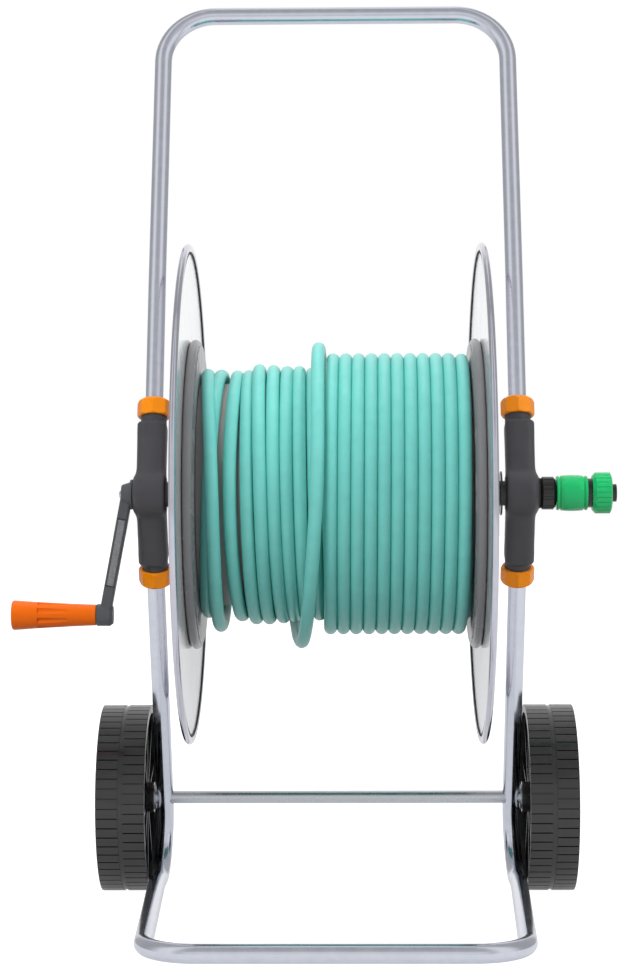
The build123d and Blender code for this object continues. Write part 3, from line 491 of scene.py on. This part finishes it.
def disc_core(side, x, cut_r):
    """A cylinder about the reel's axis that holds what is kept of a disc."""
    shape = bmesh.new()
    bmesh.ops.create_cone(
        shape, cap_ends=True, segments=RING_STEPS, radius1=cut_r * MM, radius2=cut_r * MM,
        depth=CORE_DEPTH * MM,
    )
    place = Matrix.Translation(REEL + Vector((side * x * MM, 0, 0)))
    turn = Matrix.Rotation(math.pi / 2, 4, "Y")
    bmesh.ops.transform(shape, matrix=place @ turn, verts=shape.verts)
    mesh = bpy.data.meshes.new("disc_core")
    shape.to_mesh(mesh)
    shape.free()
    return new_piece("disc_core", mesh)


def new_edge(node, side, edge, look, edge_look):
    """A disc with its face, holes and ribs as they are and its edge as one rolled bead."""
    cut_r, x, radius, half_width, half_height = edge
    disc = show(node + "_face", copied(node), look, "reel", (node,))
    core = disc_core(side, x, cut_r)
    cut = disc.modifiers.new("cut", "BOOLEAN")
    cut.operation = "INTERSECT"
    cut.solver = "EXACT"
    cut.object = core
    settled(disc).set_sharp_from_angle(angle=SHARP)
    bpy.data.objects.remove(core)
    outline = oval(side * x, radius, half_width, half_height)
    ring(node + "_edge", outline, edge_look)


def hem_shadow_line(name, side):
    x0, x1, r0, r1 = HEM_SHADOW_LINE
    outline = [(side * x0, r0), (side * x1, r0), (side * x1, r1), (side * x0, r1)]
    # The black rubber look here paints the seam's shadow line as a dark ring: painted shade
    ring(name, outline, "seal_rubber")


# The crank arm's recessed panel: where the arm starts, how it leans, and the panel's place on it
ARM_TOP = (-208.5, 0.0, 0.0)
ARM_LEAN = math.atan2(22.5, 120.3)
PANEL_MIDDLE = 59.2
PANEL_SIZE = (6.7, 0.6, 66.4)
PANEL_STAND = 6.75


def crank_panels():
    """The rough inlays in the recesses on both faces of the crank arm."""
    arm = Matrix.Translation(REEL + Vector(ARM_TOP) * MM) @ Matrix.Rotation(ARM_LEAN, 4, "Y")
    for side, name in ((-1, "front_crank_panel"), (1, "back_crank_panel")):
        shape = bmesh.new()
        bmesh.ops.create_cube(shape, size=MM)
        bmesh.ops.scale(shape, vec=PANEL_SIZE, verts=shape.verts)
        place = Matrix.Translation(Vector((0, side * PANEL_STAND, -PANEL_MIDDLE)) * MM)
        bmesh.ops.transform(shape, matrix=arm @ place, verts=shape.verts)
        show(name, shape, "crank_panel", "reel")


# The release sleeve's turned outline, (x, radius): mouth, bore, end lips, grooves and belly
SLEEVE_OUTLINE = [
    (219.6, 11.5), (221.4, 11.5), (221.4, 14.6), (250.5, 14.6), (250.5, 16.4), (249.9, 17.1),
    (248.3, 17.2), (247.8, 16.9), (247.5, 16.0), (246.6, 16.0), (246.2, 17.0), (245.6, 17.4),
    (241.0, 17.8), (235.0, 18.0), (229.0, 17.8), (224.4, 17.4), (223.8, 17.0), (223.5, 16.0),
    (222.6, 16.0), (222.3, 16.9), (221.8, 17.2), (220.3, 17.1), (219.6, 16.3),
]


def release_sleeve():
    """The green sleeve with a lip and a groove at each end."""
    shape = bmesh.new()
    lathe(shape, SLEEVE_OUTLINE, LATHE_STEPS)
    show("release_sleeve", shape, "green_plastic", "sleeve", ("connector_sleeve",))


# How the brackets' hubs flow into their arms. The skin is eased between these distances from the
# reel's axis: not at all at the first, most at the second, and not at all again at the third
EASE_FROM = 19.0
EASE_FULL = 25.0
EASE_TO = 62.0
EASE_FALL = 0.6
EASE_VOXEL = 1.0
EASE_FACTOR = 0.5
EASE_ROUNDS = 160
EASE_SHARP = math.radians(50)


def eased_bracket(node):
    """A bracket whose hub flows into its arms as the mould makes it, its bore and ends kept."""
    mesh = bpy.data.meshes.new(node + "_skin")
    shape = copied(node)
    shape.to_mesh(mesh)
    shape.free()
    mesh.materials.append(LOOKS["bracket_plastic"])
    piece = new_piece(node + "_skin", mesh)
    even = piece.modifiers.new("even", "REMESH")
    even.mode = "VOXEL"
    even.voxel_size = EASE_VOXEL * MM
    even.adaptivity = 0.0
    skin = settled(piece)
    group = piece.vertex_groups.new(name="eased")
    for vert in skin.vertices:
        away = math.hypot(vert.co.y - REEL.y, vert.co.z - REEL.z) / MM
        rise = min(max((away - EASE_FROM) / (EASE_FULL - EASE_FROM), 0), 1)
        fall = min(max((EASE_TO - away) / (EASE_TO - EASE_FULL), 0), 1)
        group.add([vert.index], min(rise, fall ** EASE_FALL), "REPLACE")
    ease = piece.modifiers.new("ease", "SMOOTH")
    ease.factor = EASE_FACTOR
    ease.iterations = EASE_ROUNDS
    ease.vertex_group = group.name
    finished = settled(piece)
    finished.shade_smooth()
    finished.set_sharp_from_angle(angle=EASE_SHARP)
    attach(piece, "frame")
    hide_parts(node)


for word, way in (("right", 1), ("left", -1)):
    new_edge(word + "_drum_disc", way, DRUM_EDGE, "drum_plastic", "drum_plastic")
    new_edge(word + "_flange", way, FLANGE_EDGE, "flange_paint", "flange_edge")
    hem_shadow_line(word + "_hem_shadow_line", way)
crank_panels()
release_sleeve()
eased_bracket("right_bracket")
eased_bracket("left_bracket")


# Floor, world and lamps

FLOOR_REACH = 20
FLOOR_GREY = 0.35
FLOOR_ROUGHNESS = 0.9
# How bright the floor is in polished metal, beside the white that the eye sees
FLOOR_IN_METAL = 0.5


def floor():
    """A wide pale floor that looks white and keeps the cart's shadow."""
    mesh = bpy.data.meshes.new("floor")
    shape = bmesh.new()
    bmesh.ops.create_grid(shape, x_segments=1, y_segments=1, size=FLOOR_REACH)
    shape.to_mesh(mesh)
    shape.free()
    piece = new_piece("floor", mesh)
    made, tree, shader, _ = new_material("white_floor")
    shader.inputs["Base Color"].default_value = (FLOOR_GREY, FLOOR_GREY, FLOOR_GREY, 1)
    shader.inputs["Roughness"].default_value = FLOOR_ROUGHNESS
    shader.inputs["Emission Color"].default_value = (1, 1, 1, 1)
    rays = add_node(tree, "ShaderNodeLightPath")
    in_metal = add_node(
        tree, "ShaderNodeMath", {1: FLOOR_IN_METAL}, {0: rays.outputs["Is Glossy Ray"]},
        operation="MULTIPLY",
    )
    glow = add_node(
        tree, "ShaderNodeMath", operation="MAXIMUM",
        links={0: rays.outputs["Is Camera Ray"], 1: in_metal.outputs[0]},
    )
    tree.links.new(glow.outputs[0], shader.inputs["Emission Strength"])
    mesh.materials.append(made)


# Brightness of the studio's walls as polished metal sees them: by the turn away from the front,
# where 0 is behind the camera and 1 is behind the cart, and, near the front, by the height above
# the horizon. The front's tones give way to the walls' between the two turns of FRONT_ENDS
WALL_TONES = [
    (0.17, 0.6), (0.28, 0.95), (0.40, 0.9), (0.50, 0.5), (0.60, 0.45), (0.85, 0.5), (0.93, 1.0),
]
FRONT_TONES = [(0.0, 0.75), (0.15, 0.85), (0.35, 0.85), (0.55, 0.55), (0.95, 0.45)]
FRONT_ENDS = (0.08, 0.2)
SOFT_LIGHT = (0.92, 0.93, 0.96, 1)
SOFT_STRENGTH = 0.5


def tone_ramp(tree, tones, source):
    """A ramp of grey tones over a value between 0 and 1."""
    made = add_node(tree, "ShaderNodeValToRGB", links={"Fac": source})
    stops = made.color_ramp.elements
    stops[0].position = tones[0][0]
    stops[1].position = tones[-1][0]
    for position, tone in tones[1:-1]:
        stops.new(position)
    for stop, (position, tone) in zip(stops, tones):
        stop.color = (tone, tone, tone, 1)
    return made.outputs["Color"]


def world():
    """White to the eye; soft light on the cart; bright and grey walls in what is polished."""
    made = bpy.data.worlds.new("studio")
    made.use_nodes = True
    tree = made.node_tree
    tree.nodes.clear()
    way = add_node(tree, "ShaderNodeTexCoord").outputs["Generated"]
    parts = add_node(tree, "ShaderNodeSeparateXYZ", links={"Vector": way})
    side = add_node(
        tree, "ShaderNodeMath", operation="ABSOLUTE", links={0: parts.outputs["X"]},
    )
    front = add_node(
        tree, "ShaderNodeMath", {1: -1.0}, {0: parts.outputs["Y"]}, operation="MULTIPLY",
    )
    turn = add_node(
        tree, "ShaderNodeMath", links={0: side.outputs[0], 1: front.outputs[0]},
        operation="ARCTAN2",
    )
    share = add_node(
        tree, "ShaderNodeMath", {1: math.pi}, {0: turn.outputs[0]}, operation="DIVIDE",
    )
    walls = tone_ramp(tree, WALL_TONES, share.outputs[0])
    ahead = tone_ramp(tree, FRONT_TONES, parts.outputs["Z"])
    beside = add_node(
        tree, "ShaderNodeMapRange", {"From Min": FRONT_ENDS[0], "From Max": FRONT_ENDS[1]},
        {"Value": share.outputs[0]},
    )
    both = add_node(
        tree, "ShaderNodeMix", links={0: beside.outputs["Result"], 6: ahead, 7: walls},
        data_type="RGBA",
    )
    rays = add_node(tree, "ShaderNodeLightPath")
    seen = add_node(
        tree, "ShaderNodeMath", operation="MAXIMUM",
        links={0: rays.outputs["Is Camera Ray"], 1: rays.outputs["Is Transmission Ray"]},
    )
    soft = add_node(
        tree, "ShaderNodeBackground", {"Color": SOFT_LIGHT, "Strength": SOFT_STRENGTH},
    )
    mirrored = add_node(
        tree, "ShaderNodeBackground", {"Strength": 1.0}, {"Color": both.outputs[2]},
    )
    white = add_node(
        tree, "ShaderNodeBackground", {"Color": (1, 1, 1, 1), "Strength": 1.0},
    )
    lit = add_node(
        tree, "ShaderNodeMixShader",
        links={0: rays.outputs["Is Glossy Ray"], 1: soft.outputs[0], 2: mirrored.outputs[0]},
    )
    whole = add_node(
        tree, "ShaderNodeMixShader",
        links={0: seen.outputs[0], 1: lit.outputs[0], 2: white.outputs[0]},
    )
    add_node(tree, "ShaderNodeOutputWorld", links={0: whole.outputs[0]})
    bpy.context.scene.world = made


# Softboxes: name, place and edge in metres, and power in watts
SOFTBOXES = [
    ("front_softbox", (-1.2, -2.6, 2.2), 1.6, 57),
    ("right_softbox", (2.2, -1.4, 1.4), 1.2, 28),
    ("top_softbox", (0.2, 0.3, 2.6), 1.6, 30),
]


def lamps():
    for name, place, edge, power in SOFTBOXES:
        data = bpy.data.lights.new(name, "AREA")
        data.size = edge
        data.energy = power
        lamp = new_piece(name, data)
        lamp.matrix_world = looking(Vector(place), REEL)
        lamp.visible_glossy = False


floor()
world()
lamps()
bpy.context.scene.view_settings.view_transform = "Standard"
